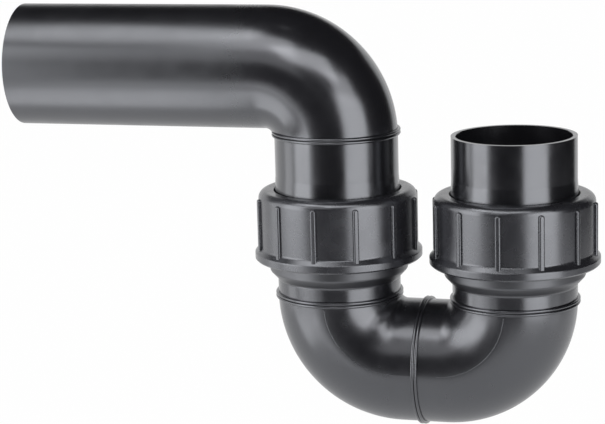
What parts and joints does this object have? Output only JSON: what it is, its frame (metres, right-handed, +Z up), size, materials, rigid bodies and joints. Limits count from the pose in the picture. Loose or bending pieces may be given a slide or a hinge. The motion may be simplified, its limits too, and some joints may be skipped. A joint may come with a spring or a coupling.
{
  "type": "drain trap",
  "caption": "Black butt-welded plastic drain trap: U-bend with ribbed screw unions on both legs, upright inlet spigot and long level outlet arm.",
  "frame": {"origin": "centre of the inlet spigot's rim", "axes": "+Z up, out of the inlet; -X along the outlet arm, out of it; the U-bend lies in the XZ plane"},
  "size_m": [0.529, 0.15, 0.3756],
  "materials": {
    "pe_pipe": "satin",
    "pe_fitting": "satin",
    "pe_elbow": "satin",
    "pe_nut": "satin",
    "rubber_seal": "matte"
  },
  "bodies": {
    "inlet_tail": {"inlet_tail_piece": "pe_fitting"},
    "inlet_nut": {"inlet_union_nut": "pe_nut"},
    "inlet_seal": {"inlet_gasket": "rubber_seal"},
    "u_bend": {"inlet_threaded_end": "pe_fitting", "inlet_elbow": "pe_elbow", "outlet_elbow": "pe_elbow", "outlet_threaded_end": "pe_fitting"},
    "outlet_seal": {"outlet_gasket": "rubber_seal"},
    "outlet_nut": {"outlet_union_nut": "pe_nut"},
    "outlet_arm": {"outlet_tail_piece": "pe_fitting", "outlet_bend": "pe_pipe"}
  },
  "joints": [
    {"name": "u_bend_swivel", "type": "hinge", "parent": "inlet_tail", "child": "inlet_seal", "pos_m": [0, 0, -0.074], "axis": [0, 0, 1], "continuous": true},
    {"name": "inlet_nut_turn", "type": "hinge", "parent": "inlet_seal", "child": "inlet_nut", "pos_m": [0, 0, -0.078], "axis": [0, 0, 1], "range_deg": [0, 1441]},
    {"name": "inlet_union_draw", "type": "slide", "parent": "inlet_seal", "child": "u_bend", "axis": [0, 0, -1], "range_m": [0, 0.032]},
    {"name": "outlet_union_draw", "type": "slide", "parent": "u_bend", "child": "outlet_seal", "axis": [0, 0, 1], "range_m": [0, 0.032]},
    {"name": "outlet_nut_turn", "type": "hinge", "parent": "outlet_seal", "child": "outlet_nut", "pos_m": [-0.16, 0, -0.078], "axis": [0, 0, 1], "range_deg": [0, 1441]},
    {"name": "outlet_swivel", "type": "hinge", "parent": "outlet_seal", "child": "outlet_arm", "pos_m": [-0.16, 0, -0.074], "axis": [0, 0, 1], "range_deg": [-130, 130]}
  ],
  "couplings": [
    {"joint": "inlet_nut_turn", "follows": "inlet_union_draw", "rad_per_m": 785.4},
    {"joint": "outlet_nut_turn", "follows": "outlet_union_draw", "rad_per_m": 785.4}
  ]
}
